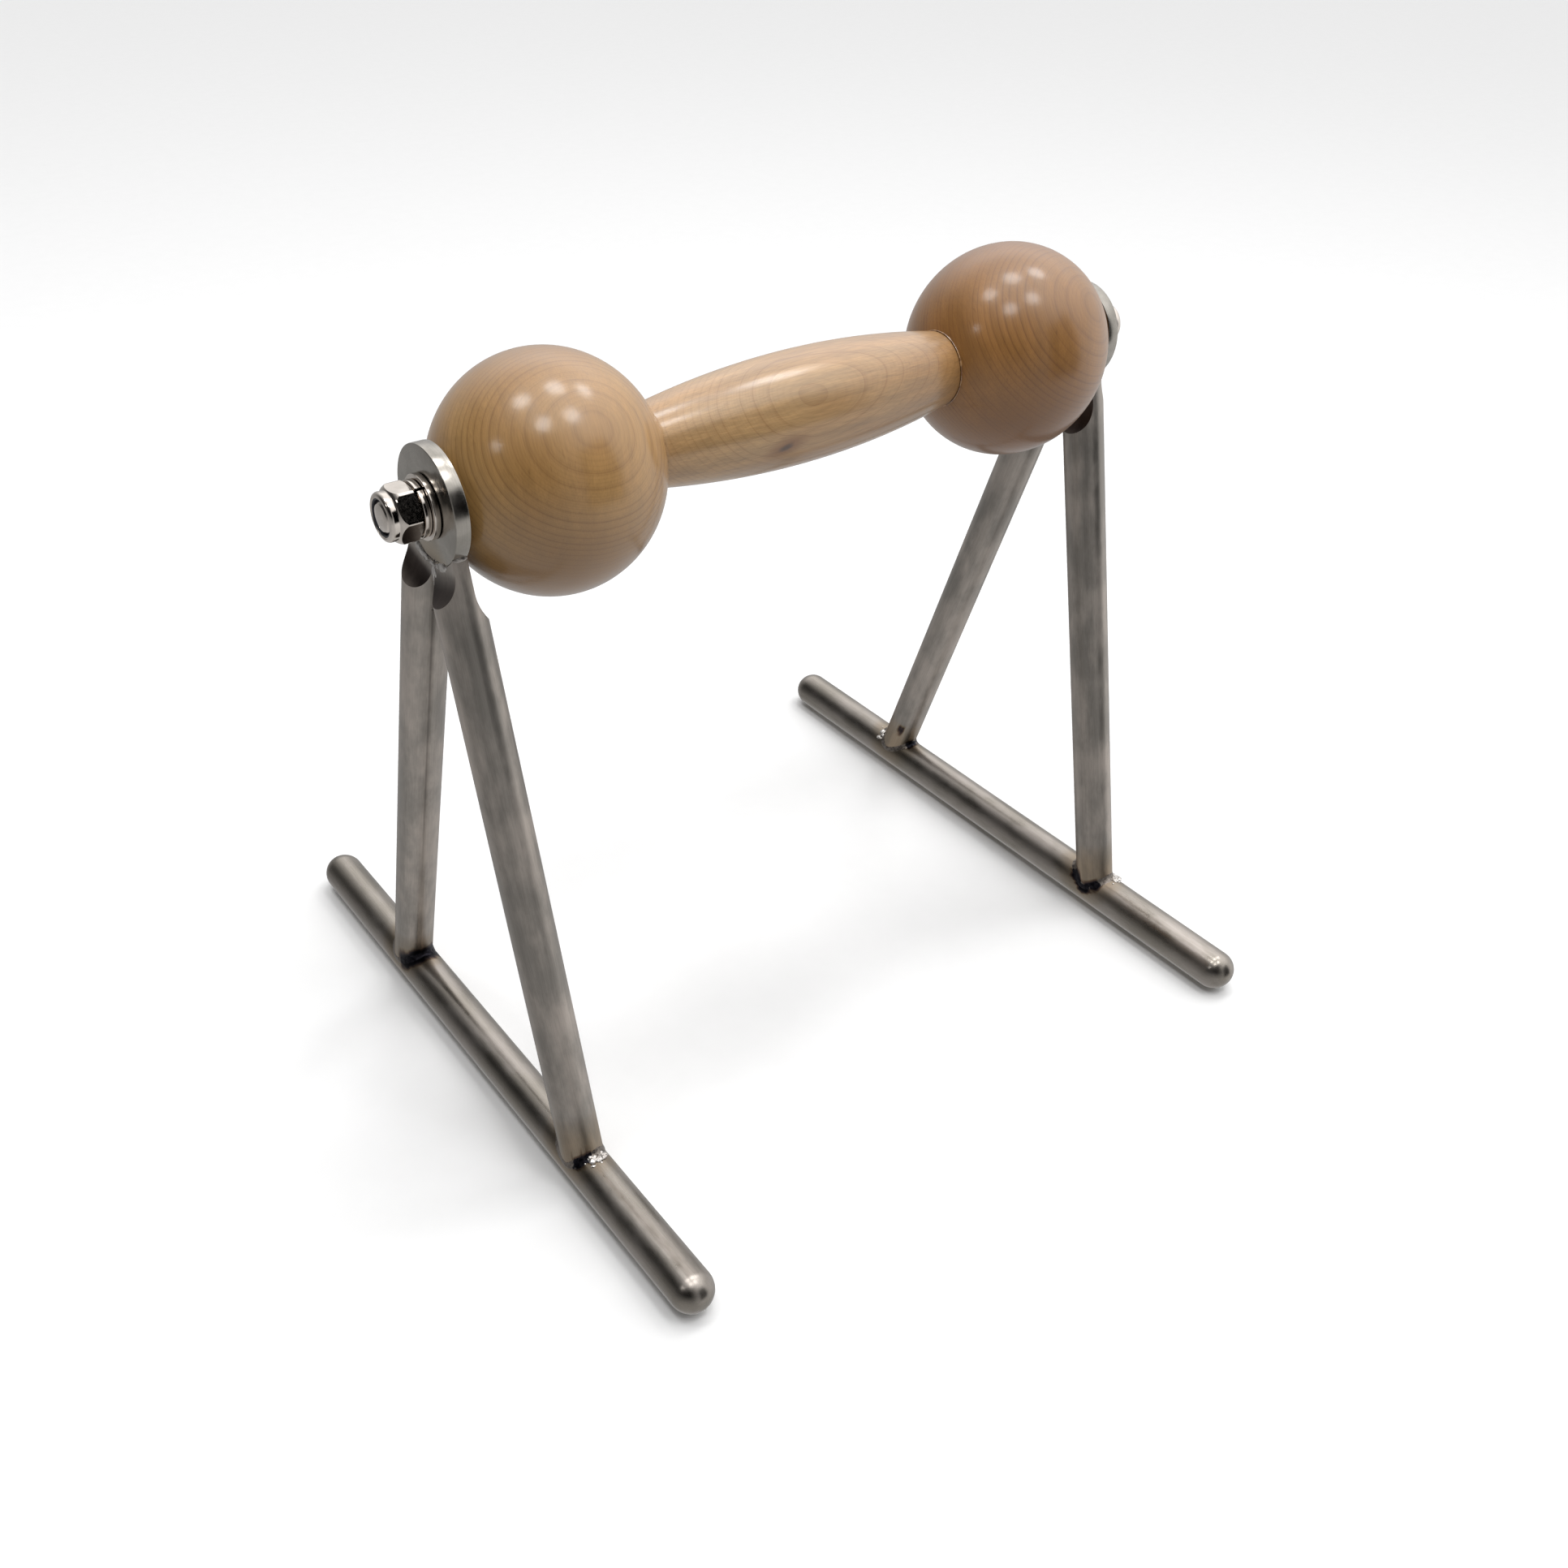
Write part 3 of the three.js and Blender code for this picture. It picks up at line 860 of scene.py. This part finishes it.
def foot_weld(side, end, facing, material):
    """The uneven fillet of weld metal round the foot of a leg, with spatter on three of them."""
    bm = bmesh.new()
    bright, burn = number_layers(bm, "bright", "burn")
    rows = []
    seed = Vector((3.1, 1.7, 0)) * (1 + len(side) + 7 * len(end))
    for a in turns(120):
        x = LEG_R * math.cos(a)
        across = LEG_R * math.sin(a)
        down = cope_end(x, across)
        corner = on_leg(x, across, down, facing)
        out = (on_leg(x * 2, across * 2, down, facing) - corner).normalized()
        up = (on_leg(x, across, down - MM, facing) - corner).normalized()
        lump = 1 + 0.3 * noise.noise(corner * 160 + seed) + 0.05 * math.sin(a * 30)
        leg_side = corner + up * (WELD_ON_LEG * lump) + out * 0.06 * MM
        toe = corner + out * (WELD_ON_BAR * lump)
        bar_side = on_foot_bar(toe, 0.06 * MM)
        middle = corner + (up + out).normalized() * (WELD_THROAT * lump)
        ring = []
        for t in between(0, 1, 8):
            place = leg_side * (1 - t) ** 2 + middle * 2 * t * (1 - t) + bar_side * t * t
            bulge = math.sin(math.pi * t) * ripple(place + seed * MM, 420, 0.2 * MM)
            ring.append(place + (up + out).normalized() * bulge)
        ring.append(bar_side - Vector((0, 0, 1)) * 0.8 * MM - out * 0.8 * MM)
        ring.append(corner - out * 1.0 * MM - up * 0.4 * MM)
        ring.append(leg_side - out * 0.8 * MM)
        row = [bm.verts.new(place) for place in ring]
        for vert in row:
            vert[burn] = heat_near_welds(vert.co, side, {end: facing})
        rows.append(row)
    join_all(bm, rows, closed=True)
    if (side, end) in SHINES:
        add_spatter(bm, bright, side, end, facing)
    finish_piece(bm, f"{side}_{end}_weld_bead", stand_matrix(side), material, side + "_stand",
                 [f"{side}_{end}_weld"], 60)


def on_foot_bar(place, above):
    """The place moved straight towards or away from the foot bar's axis, to just above its surface."""
    drop = Vector((place.x, 0, place.z - FOOT_R)).normalized() * (FOOT_R + above)
    return Vector((drop.x, place.y, drop.z + FOOT_R))


def add_spatter(bm, bright, side, end, facing):
    """A crumpled, bright lump where the weld was finished, with a few drops thrown from it."""
    draw = random.Random(41 if side == "left" else 73)
    middle, lumps, drops = SHINES[side, end]
    for widest, furthest, least, greatest in [LUMP] * lumps + [DROP] * drops:
        turn = math.radians(middle) + draw.uniform(-math.radians(widest), math.radians(widest))
        place = weld_corner(turn, facing) + Vector((0, facing, 0)) * draw.uniform(0.2, furthest) * MM
        size = draw.uniform(least, greatest) * MM
        place = on_foot_bar(place, size * 0.1)
        made = bmesh.ops.create_icosphere(bm, subdivisions=3, radius=size)
        squash = Matrix.Diagonal((draw.uniform(0.8, 1.5), draw.uniform(0.8, 1.5), draw.uniform(0.45, 0.7), 1))
        turned = Matrix.Rotation(draw.uniform(0, math.pi), 4, "Z")
        bmesh.ops.transform(bm, matrix=Matrix.Translation(place) @ turned @ squash, verts=made["verts"])
        shine = draw.choice(SHINE_TONES)
        for vert in made["verts"]:
            vert.co += (vert.co - place).normalized() * ripple(vert.co, 1100, size * 0.35)
            vert[bright] = shine


def wandering(points, size, seed):
    """The points moved a little to either side, as a crack or a hand-laid bead runs."""
    return [p + Vector((0, noise.noise(p * 330 + seed), noise.noise(p * 330 - seed))) * size for p in points]


def bead_along(bm, layers, points, out, sizes, seed, shine):
    """A low, lumpy ridge of weld metal on a face. sizes has its width and height in mm. A CRACK is black."""
    bright, burn = layers
    width, height = (size * MM for size in sizes)
    rows = []
    for i, place in enumerate(points):
        before = points[max(0, i - 1)]
        after = points[min(len(points) - 1, i + 1)]
        across = (after - before).normalized().cross(out).normalized()
        taper = math.sqrt(max(0.02, math.sin(math.pi * (i + 0.5) / len(points))))
        lump = taper * (1 + 0.5 * noise.noise(place * 420 + seed))
        row = []
        for t in turns(12):
            lift = height * lump * math.sin(t) if math.sin(t) > 0 else 0.5 * MM * math.sin(t)
            skin = place + across * (width / 2 * lump * math.cos(t)) + out * lift
            vert = bm.verts.new(skin + out * ripple(skin + seed, 700, 0.07 * MM))
            vert[bright] = max(0, shine)
            vert[burn] = max(0, -shine)
            row.append(vert)
        rows.append(row)
    join_all(bm, rows, capped=True)


def rim_line(x, start, end, radius):
    """Points round the disc's lower rim, from one turn from straight down to another."""
    return [Vector((x, radius * math.sin(a), AXLE_Z - radius * math.cos(a))) for a in between(start, end, 40)]


def straight_line(x, y, down, y_step, down_step, count):
    """Points on the disc's face or just below it. y and down from the rim are in mm."""
    steps = [(y + y_step * k, down + down_step * k) for k in range(count)]
    return [Vector((x, y_k * MM, AXLE_Z - DISC_R - down_k * MM)) for y_k, down_k in steps]


def apex_weld(side, material):
    """The beads that hold both tangs to the disc and to each other, on both faces, and two cracks."""
    bm = bmesh.new()
    layers = number_layers(bm, "bright", "burn")
    seed = Vector((5, 2, 1 if side == "left" else 8))
    for face in (-1, 1):
        x = face * DISC_HALF_T
        out = Vector((face, 0, 0))
        for start, end, width in RIM_BEADS:
            rim = rim_line(x, start, end, DISC_R + 0.35 * MM)
            bead_along(bm, layers, rim, out, (width, 0.55), seed, 0.6)
        crotch = wandering(straight_line(x, 0, 0.4, 0, 0.7, 14), 0.5 * MM, seed)
        bead_along(bm, layers, crotch, out, (2.6, 0.5), seed * 2, 0.6)
        ridge = wandering(straight_line(x, 0.6, 1, 0.22, 0.5, 14), 0.4 * MM, seed * 3)
        bead_along(bm, layers, ridge, out, (1.5, 0.4), seed * 3, 0.7)
        crack = wandering(rim_line(x, -0.52, 0.3, DISC_R - 1.3 * MM), 0.6 * MM, seed)
        bead_along(bm, layers, crack, out, (0.45, 0.1), seed, CRACK)
        branch = wandering(straight_line(x, 1.2, -0.2, 0.15, -0.25, 10), 0.4 * MM, seed * 2)
        bead_along(bm, layers, branch, out, (0.4, 0.1), seed, CRACK)
    for facing in (-1, 1):
        edge = [on_leg(x, LEG_R, cope_start(LEG_R), facing) for x in between(-DISC_HALF_T, DISC_HALF_T, 20)]
        out = Vector((0, facing * LEG_COS, LEG_SIN))
        bead_along(bm, layers, edge, out, (2.4, 0.32), seed * 2, 0.3)
    finish_piece(bm, side + "_apex_weld", stand_matrix(side), material, side + "_stand",
                 sharp=60)


def boss_disc(side, material):
    """The disc at the top of a stand, warmed by its welds."""
    section = ring_section(-DISC_HALF_T, DISC_HALF_T, BORE_R, DISC_R, 0.45 * MM)
    piece = finish_piece(turned_about_x(section, 160), side + "_turned_disc", at_axle(stand_matrix(side)),
                         material, side + "_stand", [side + "_boss_disc"])
    set_vectors(piece, "grain", lambda p: (math.hypot(p.y, p.z - AXLE_Z), 0, p.x))
    set_numbers(piece, "burn", lambda p: 0.45 * smoothstep(0.75 * DISC_R, 1.02 * DISC_R, AXLE_Z - p.z))


# --- Axle and fasteners ---


def axle_rod(material):
    """A round rod with a chamfer and a slight dome at each end."""
    neck = AXLE_R - 1.1 * MM
    tip = [(AXLE_HALF - 1.5 * MM, AXLE_R), (AXLE_HALF - 0.45 * MM, neck), (AXLE_HALF - 0.12 * MM, neck * 0.7),
           (AXLE_HALF - 0.02 * MM, neck * 0.35), (AXLE_HALF, 0)]
    outline = [(-x, r) for x, r in reversed(tip)] + tip
    finish_piece(turned_about_x(outline, 96, False), "axle_bar", at_axle(), material,
                 "axle", ["axle_rod"], 25)


def plain_ring(side, node, bore, material):
    """A washer or insert with rounded edges, as long and as wide as its node."""
    low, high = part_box("right_" + node)
    section = ring_section(low.x, high.x, bore, (high.y - low.y) / 2, RING_RIM)
    finish_piece(turned_about_x(section, 128), f"{side}_{node}_ring", at_axle(SIDES[side]), material,
                 "axle", [f"{side}_{node}"])


def spring_washer(side, material):
    """A split ring whose two ends stand a little apart along the axle."""
    low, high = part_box("right_spring_washer")
    section = ring_section(low.x, high.x, WASHER_BORE_R, (high.y - low.y) / 2, 0.35 * MM)
    bm = bmesh.new()
    rows = []
    steps = 110
    for k in range(steps + 1):
        a = SLIT_FROM_TOP + SLIT_WIDTH / 2 + (2 * math.pi - SLIT_WIDTH) * k / steps
        shift = SLIT_STEP * (2 * k / steps - 1)
        rows.append([ring_vert(bm, x + shift, r, a) for x, r in section])
    join_all(bm, rows, capped=True)
    finish_piece(bm, side + "_split_ring", at_axle(SIDES[side]), material, "axle",
                 [side + "_spring_washer"])


def hexagon_radius(angle):
    """The nut's half width in one direction, with its six corners just broken."""
    sector = math.pi / 3
    from_flat = (angle + sector / 2) % sector - sector / 2
    return min(NUT_FLATS / 2 / math.cos(from_flat), NUT_FLATS / math.sqrt(3) * 0.987)


def nut_shoulder(radius):
    """How high the nut's rounded outer shoulder stands at a distance from the axle."""
    centre_r, centre_x, size = 6.7 * MM, 4.9 * MM, 4.3 * MM
    return centre_x + math.sqrt(size**2 - (radius - centre_r) ** 2)


def lock_nut(side, material):
    """A hexagon nut with a rounded shoulder, a collar and a turned-in lip."""
    bm = bmesh.new()
    rim = 1.6 * MM
    collar = [(x, COLLAR_R - rim + r) for x, r in arc(rim, NUT_H - rim, 0, math.pi / 2, 8)]
    lip = filleted([(NUT_H - 1.5 * MM, COLLAR_R - rim), (NUT_H, COLLAR_R - 1.7 * MM),
                    (NUT_H - 0.2 * MM, LIP_R - 1.1 * MM), (NUT_H - 1.2 * MM, LIP_R - MM)], 0.3 * MM)
    columns = []
    for a in turns(180):
        hexagon = hexagon_radius(a)
        foot = 0.55 * (hexagon - NUT_SEAT_R)
        top = nut_shoulder(hexagon)
        outline = [(0, BORE_R), (0, NUT_SEAT_R), (foot, hexagon)]
        outline += [(foot + (top - foot) * t, hexagon) for t in (0.33, 0.66)]
        outline += [(nut_shoulder(r), r) for r in between(hexagon, COLLAR_R, 8)]
        outline += [(NUT_HEX_H + 0.4 * MM, COLLAR_R - 0.12 * MM)] + collar + lip[CORNER_POINTS:]
        outline += [(NUT_H - 3.2 * MM, LIP_R - MM), (NUT_H - 3.2 * MM, BORE_R)]
        columns.append([ring_vert(bm, NUT_SEAT_X + x, r, a) for x, r in outline])
    join_all(bm, columns, closed=True)
    finish_piece(bm, side + "_collar_nut", at_axle(SIDES[side]), material, "axle",
                 [side + "_lock_nut"], 24)


# --- Studio ---

CAMERA_PLACE = (-0.3724, -0.4395, 0.5133)
CAMERA_AZIMUTH = math.radians(-37.1)
CAMERA_ELEVATION = math.radians(39.18)
CAMERA_ROLL = math.radians(1.49)
CAMERA_LENS = 32.845
CAMERA_SENSOR = 36
CAMERA_SHIFT = (0.0486, 0.0533)

FLOOR_HALF = 12
FLOOR_BELOW = 0.2 * MM
BACKDROP_R = 9.0
BACKDROP_GLOW = 1.0
LAMP_HEIGHT = 1.7
LAMP_PLACES = [(-0.45, 0.25), (0.25, 0.2), (0.85, 0.1), (-0.45, -0.5), (0.25, -0.55), (-2.0, 0.0)]
LAMP_SIZE = 0.36
LAMP_POWER = 3.0

# How bright the room is at each step from straight down (-1) to straight up (1). ROOM_SIDES has the five
# steps between, on the side to the camera's right, the side behind the object, the left side and the
# side behind the camera. The flag is a dark upright strip: FLAG_WAY is its middle, FLAG_WIDTH and the
# two others are where its edges start and end.

ROOM_STEPS = (-1, -0.4, 0, 0.3, 0.6, 0.85, 1)
ROOM_BELOW = 0.65
ROOM_ABOVE = 1.5
ROOM_SIDES = {(0.8, -0.6, 0): (0.95, 1.2, 1.2, 1.8, 2.1),
              (0.6, 0.8, 0): (0.5, 0.6, 1.0, 2.0, 1.5),
              (-0.8, 0.6, 0): (0.45, 0.2, 0.05, 0.05, 0.5),
              (-0.6, -0.8, 0): (0.6, 0.3, 0.0, 0.0, 0.0)}
FLAG_WAY = (0.42, -0.907, 0)
FLAG_WIDTH = (0.92, 0.965)
FLAG_FOOT = (-0.3, -0.12)
FLAG_HEAD = (0.68, 0.55)
ROOM_PEAK = 4.0


def camera():
    data = bpy.data.cameras.new("camera")
    data.lens = CAMERA_LENS
    data.sensor_width = CAMERA_SENSOR
    data.shift_x, data.shift_y = CAMERA_SHIFT
    data.clip_start = 0.01
    data.clip_end = 50
    eye = add_object("camera", data)
    flat = math.cos(CAMERA_ELEVATION)
    back = Vector((math.sin(CAMERA_AZIMUTH) * flat, -math.cos(CAMERA_AZIMUTH) * flat,
                   math.sin(CAMERA_ELEVATION)))
    eye.rotation_mode = "QUATERNION"
    eye.rotation_quaternion = Quaternion(back, CAMERA_ROLL) @ (-back).to_track_quat("-Z", "Y")
    eye.location = CAMERA_PLACE
    bpy.context.scene.camera = eye


def studio_mesh(bm, name, look):
    """A part of the studio that neither lights the object nor shows in it."""
    made = add_mesh(bm, name, look.material)
    made.visible_diffuse = False
    made.visible_glossy = False
    return made


def floor():
    """A plain white sheet of studio floor."""
    look = Look("studio_floor")
    fine = look.noise(look.place(), 60, 3)
    look.set(Base_Color=look.blend(fine, 0.3, 0.7, "f0f0f0", "f1f1f1"))
    look.set(Roughness=0.9, Specular_IOR_Level=0.0)
    bm = bmesh.new()
    bmesh.ops.create_grid(bm, x_segments=8, y_segments=8, size=FLOOR_HALF)
    sheet = studio_mesh(bm, "floor", look)
    sheet.location.z = -FLOOR_BELOW


def backdrop():
    """A plain pale wall all round, which only shows to the camera. The room's light passes it."""
    look = Look("backdrop_wall")
    look.set(Base_Color=(0, 0, 0, 1), Roughness=1.0, Specular_IOR_Level=0.0)
    look.set(Emission_Color=colour("fafafa"), Emission_Strength=BACKDROP_GLOW)
    bm = bmesh.new()
    bmesh.ops.create_icosphere(bm, subdivisions=4, radius=BACKDROP_R)
    wall = studio_mesh(bm, "backdrop", look)
    wall.data.shade_smooth()
    wall.visible_shadow = False


def lamps():
    for k, (x, y) in enumerate(LAMP_PLACES):
        data = bpy.data.lights.new(f"lamp_{k}", "AREA")
        data.shape = "DISK"
        data.size = LAMP_SIZE
        data.energy = LAMP_POWER
        add_object(f"lamp_{k}", data).location = (x, y, LAMP_HEIGHT)


def room():
    """A soft room, painted by direction: one column of brightness from floor to ceiling on each side."""
    world = bpy.data.worlds.new("room")
    bpy.context.scene.world = world
    world.use_nodes = True
    nodes = Nodes(world.node_tree)
    way = nodes.put("TexCoord").outputs["Generated"]
    rise = nodes.put("SeparateXYZ", {0: way}).outputs["Z"]
    height = nodes.math("MULTIPLY_ADD", rise, 0.5, 0.5)
    level = nodes.vectors("NORMALIZE", nodes.vectors("MULTIPLY", way, (1, 1, 0)))
    total = 0.0
    for side, levels in ROOM_SIDES.items():
        column = zip(ROOM_STEPS, (ROOM_BELOW, *levels, ROOM_ABOVE))
        stops = [((step + 1) / 2, value / ROOM_PEAK) for step, value in column]
        facing = nodes.math("MAXIMUM", nodes.vectors("DOT_PRODUCT", level, side, output="Value"), 0.0)
        share = nodes.times(facing, facing)
        total = nodes.math("MULTIPLY_ADD", share, nodes.curve(height, stops), total)
    towards_flag = nodes.vectors("DOT_PRODUCT", level, FLAG_WAY, output="Value")
    flag = nodes.times(nodes.band(towards_flag, *FLAG_WIDTH), nodes.band(rise, *FLAG_FOOT))
    flag = nodes.times(flag, nodes.band(rise, *FLAG_HEAD))
    past_flag = nodes.math("SUBTRACT", ROOM_PEAK, nodes.times(flag, ROOM_PEAK))
    background = nodes.tree.nodes["Background"].inputs
    nodes.feed(background["Strength"], nodes.times(total, past_flag))
    nodes.feed(background["Color"], (1, 1, 1, 1))


# --- Assembly ---


def stands():
    leg_steel = brushed_steel("leg_steel", "b6ada5", "8c8781", 0.4, 0.12)
    foot_steel = brushed_steel("foot_steel", "a09993", "8a847c", 0.29, 0.1)
    disc_steel = turned_steel()
    weld = weld_material()
    for side in SIDES:
        boss_disc(side, disc_steel)
        foot_bar(side, foot_steel)
        apex_weld(side, weld)
        for end, facing in ENDS[side].items():
            leg(side, end, facing, leg_steel)
            foot_weld(side, end, facing, weld)


def axle():
    bright = bright_steel()
    dark = nylon()
    axle_rod(bright)
    for side in SIDES:
        plain_ring(side, "flat_washer", WASHER_BORE_R, bright)
        spring_washer(side, bright)
        lock_nut(side, bright)
        plain_ring(side, "nylon_insert", BORE_R, dark)


def dumbbell():
    grip()
    glue = glue_material()
    for side in SIDES:
        ball(side)
        glue_line(side, glue)


camera()
floor()
backdrop()
lamps()
room()
dumbbell()
axle()
stands()
bpy.context.scene.view_settings.view_transform = "Standard"
